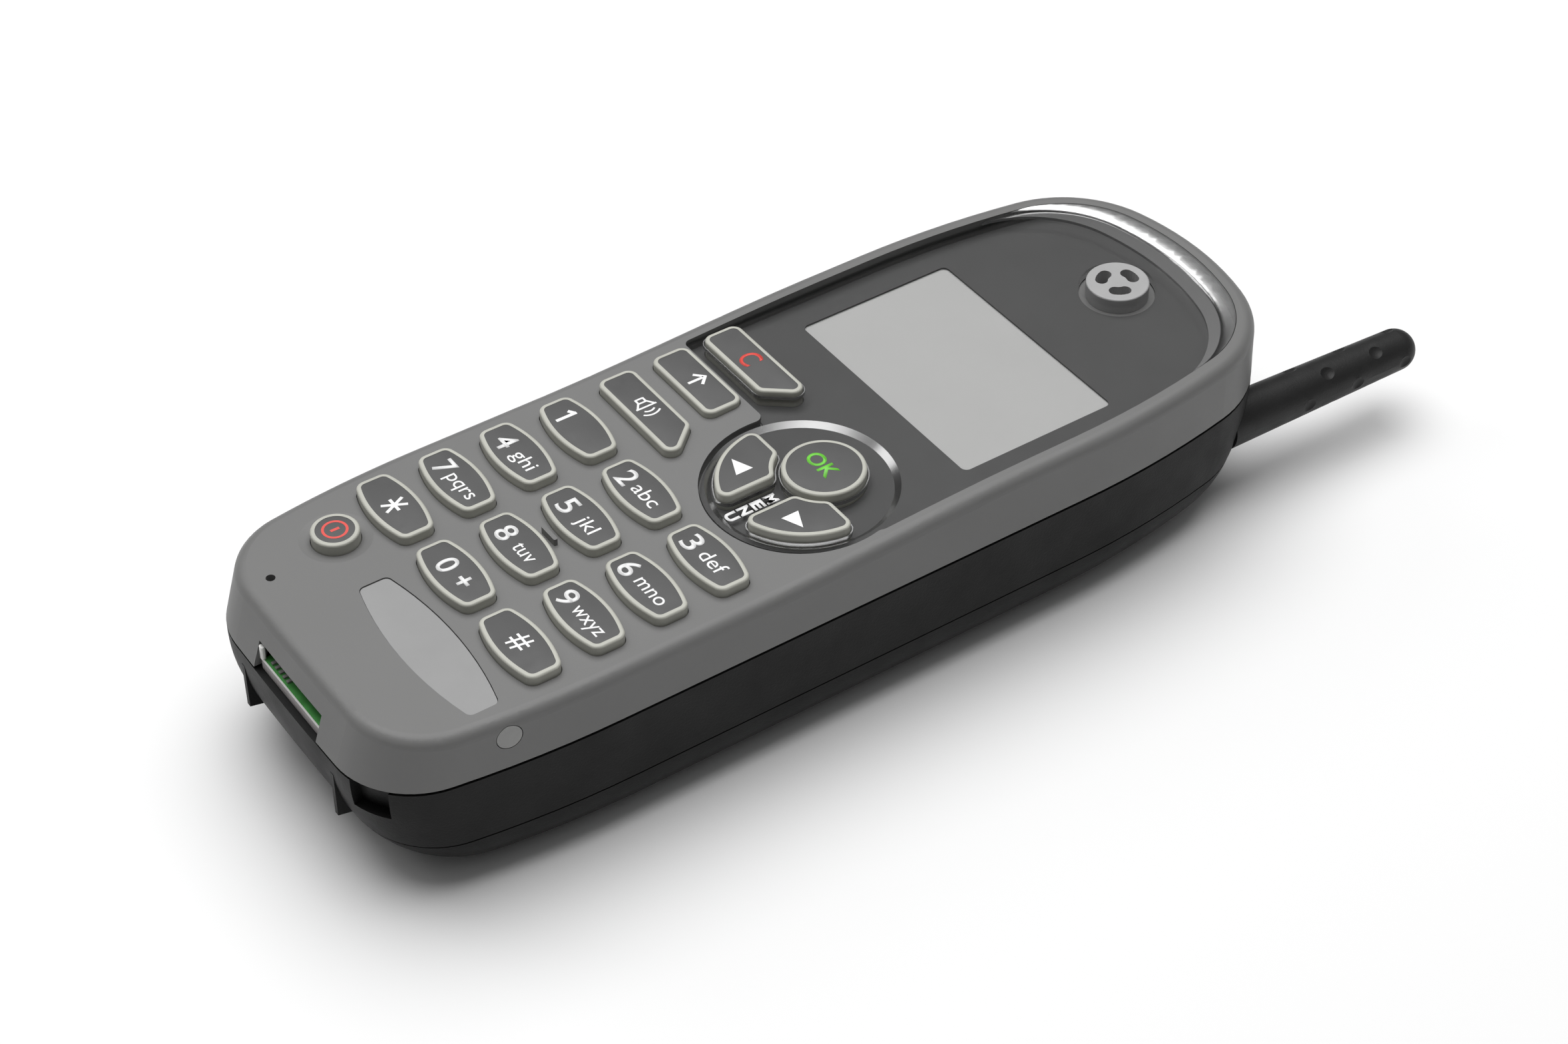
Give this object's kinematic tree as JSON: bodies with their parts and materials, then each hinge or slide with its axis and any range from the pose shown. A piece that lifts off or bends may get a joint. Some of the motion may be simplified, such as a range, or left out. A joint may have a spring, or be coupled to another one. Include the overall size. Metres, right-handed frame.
{
  "type": "mobile phone",
  "caption": "Early mobile phone: rounded two-tone case with raised keys, a clear display lens, a round navigation pad and a stub antenna.",
  "frame": {"origin": "middle of the phone's box, on the flat back it lies on", "axes": "+X to the phone's right seen from the front, +Y along the phone towards the antenna, +Z out of the keypad"},
  "size_m": [0.05, 0.1652, 0.027],
  "materials": {
    "front_grey": "satin painted plastic",
    "clear_lens": "clear polished acrylic",
    "mask_dark": "printed dark grey film",
    "plate_silver": "satin pale grey",
    "grille_grey": "satin pale grey",
    "key_pale": "satin moulded, slightly warm",
    "rubber_pale": "matt silicone",
    "rubber_dark": "matt",
    "film": "clear film",
    "board_green": "solder mask",
    "chip_black": "moulded",
    "steel": "tinned sheet",
    "gold": "plated",
    "lcd_grey": "pale grey liquid crystal cell",
    "white_plastic": "moulded",
    "connector_grey": "moulded",
    "bung_grey": "soft",
    "rear_black": "fine texture",
    "cell_case": "drawn can",
    "inlay_dark": "satin, printed",
    "legend_white": "printed",
    "legend_red": "printed",
    "legend_green": "printed",
    "antenna_black": "matt"
  },
  "bodies": {
    "phone": {"antenna_clip": "gold", "antenna_socket": "gold", "battery_contacts": "gold", "board_connector": "chip_black", "board_parts": "chip_black", "buzzer": "chip_black", "connector_guide": "white_plastic", "display_lens": "clear_lens", "display_mask": "mask_dark", "dome_sheet": "film", "earpiece_gasket": "rubber_dark", "earpiece_grille": "grille_grey", "earpiece_speaker": "chip_black", "front_housing": "front_grey", "headset_jack": "chip_black", "housing_screws": "steel", "keypad_board": "board_green", "keypad_mat": "rubber_pale", "lcd_contact_strips": "rubber_pale", "lcd_frame": "white_plastic", "lcd_glass": "lcd_grey", "lcd_light_guide": "white_plastic", "logic_shield": "steel", "main_board": "board_green", "microphone": "steel", "microphone_boot": "rubber_dark", "name_plate": "plate_silver", "rear_housing": "rear_black", "rf_shield": "steel", "sim_card": "white_plastic", "sim_holder": "chip_black", "system_connector": "connector_grey"},
    "battery_pack": {"battery_cover": "rear_black", "battery_lid": "chip_black", "battery_cells": "cell_case", "battery_terminals": "gold", "latch_spring": "steel"},
    "latch": {"battery_latch": "rear_black"},
    "side_plug": {"jack_plug": "bung_grey"},
    "antenna": {"antenna_rod": "antenna_black", "antenna_core": "gold"},
    "key_0_cap": {"key_0": "key_pale"},
    "key_1_cap": {"key_1": "key_pale"},
    "key_2_cap": {"key_2": "key_pale"},
    "key_3_cap": {"key_3": "key_pale"},
    "key_4_cap": {"key_4": "key_pale"},
    "key_5_cap": {"key_5": "key_pale"},
    "key_6_cap": {"key_6": "key_pale"},
    "key_7_cap": {"key_7": "key_pale"},
    "key_8_cap": {"key_8": "key_pale"},
    "key_9_cap": {"key_9": "key_pale"},
    "key_star_cap": {"key_star": "key_pale"},
    "key_hash_cap": {"key_hash": "key_pale"},
    "key_power_cap": {"key_power": "key_pale"},
    "key_mute_cap": {"key_mute": "key_pale"},
    "key_arrow_cap": {"key_arrow": "key_pale"},
    "key_clear_cap": {"key_clear": "key_pale"},
    "key_ok_cap": {"key_ok": "key_pale"},
    "key_scroll_left_cap": {"key_scroll_left": "key_pale"},
    "key_scroll_right_cap": {"key_scroll_right": "key_pale"}
  },
  "joints": [
    {"name": "press_0", "type": "slide", "parent": "phone", "child": "key_0_cap", "axis": [0, 0, -1], "range_m": [0, 0.0007], "stiffness_N_per_m": 1800},
    {"name": "press_1", "type": "slide", "parent": "phone", "child": "key_1_cap", "axis": [0, 0, -1], "range_m": [0, 0.0007], "stiffness_N_per_m": 1800},
    {"name": "press_2", "type": "slide", "parent": "phone", "child": "key_2_cap", "axis": [0, 0, -1], "range_m": [0, 0.0007], "stiffness_N_per_m": 1800},
    {"name": "press_3", "type": "slide", "parent": "phone", "child": "key_3_cap", "axis": [0, 0, -1], "range_m": [0, 0.0007], "stiffness_N_per_m": 1800},
    {"name": "press_4", "type": "slide", "parent": "phone", "child": "key_4_cap", "axis": [0, 0, -1], "range_m": [0, 0.0007], "stiffness_N_per_m": 1800},
    {"name": "press_5", "type": "slide", "parent": "phone", "child": "key_5_cap", "axis": [0, 0, -1], "range_m": [0, 0.0007], "stiffness_N_per_m": 1800},
    {"name": "press_6", "type": "slide", "parent": "phone", "child": "key_6_cap", "axis": [0, 0, -1], "range_m": [0, 0.0007], "stiffness_N_per_m": 1800},
    {"name": "press_7", "type": "slide", "parent": "phone", "child": "key_7_cap", "axis": [0, 0, -1], "range_m": [0, 0.0007], "stiffness_N_per_m": 1800},
    {"name": "press_8", "type": "slide", "parent": "phone", "child": "key_8_cap", "axis": [0, 0, -1], "range_m": [0, 0.0007], "stiffness_N_per_m": 1800},
    {"name": "press_9", "type": "slide", "parent": "phone", "child": "key_9_cap", "axis": [0, 0, -1], "range_m": [0, 0.0007], "stiffness_N_per_m": 1800},
    {"name": "press_star", "type": "slide", "parent": "phone", "child": "key_star_cap", "axis": [0, 0, -1], "range_m": [0, 0.0007], "stiffness_N_per_m": 1800},
    {"name": "press_hash", "type": "slide", "parent": "phone", "child": "key_hash_cap", "axis": [0, 0, -1], "range_m": [0, 0.0007], "stiffness_N_per_m": 1800},
    {"name": "press_power", "type": "slide", "parent": "phone", "child": "key_power_cap", "axis": [0, 0, -1], "range_m": [0, 0.0007], "stiffness_N_per_m": 1800},
    {"name": "press_mute", "type": "slide", "parent": "phone", "child": "key_mute_cap", "axis": [0, 0, -1], "range_m": [0, 0.0007], "stiffness_N_per_m": 1800},
    {"name": "press_arrow", "type": "slide", "parent": "phone", "child": "key_arrow_cap", "axis": [0, 0, -1], "range_m": [0, 0.0007], "stiffness_N_per_m": 1800},
    {"name": "press_clear", "type": "slide", "parent": "phone", "child": "key_clear_cap", "axis": [0, 0, -1], "range_m": [0, 0.0007], "stiffness_N_per_m": 1800},
    {"name": "press_ok", "type": "slide", "parent": "phone", "child": "key_ok_cap", "axis": [0, 0, -1], "range_m": [0, 0.0007], "stiffness_N_per_m": 1800},
    {"name": "press_scroll_left", "type": "slide", "parent": "phone", "child": "key_scroll_left_cap", "axis": [0, 0, -1], "range_m": [0, 0.0007], "stiffness_N_per_m": 1800},
    {"name": "press_scroll_right", "type": "slide", "parent": "phone", "child": "key_scroll_right_cap", "axis": [0, 0, -1], "range_m": [0, 0.0007], "stiffness_N_per_m": 1800},
    {"name": "pack_slide", "type": "slide", "parent": "phone", "child": "battery_pack", "axis": [0, -1, 0], "range_m": [0, 0.005]},
    {"name": "latch_slide", "type": "slide", "parent": "battery_pack", "child": "latch", "axis": [0, -1, 0], "range_m": [0, 0.0015], "stiffness_N_per_m": 900},
    {"name": "plug_pull", "type": "slide", "parent": "phone", "child": "side_plug", "axis": [1, 0, 0], "range_m": [0, 0.0025]},
    {"name": "antenna_turn", "type": "hinge", "parent": "phone", "child": "antenna", "pos_m": [0.0174, 0.056, 0.011], "axis": [0, 0.9991, -0.0419], "continuous": true}
  ]
}
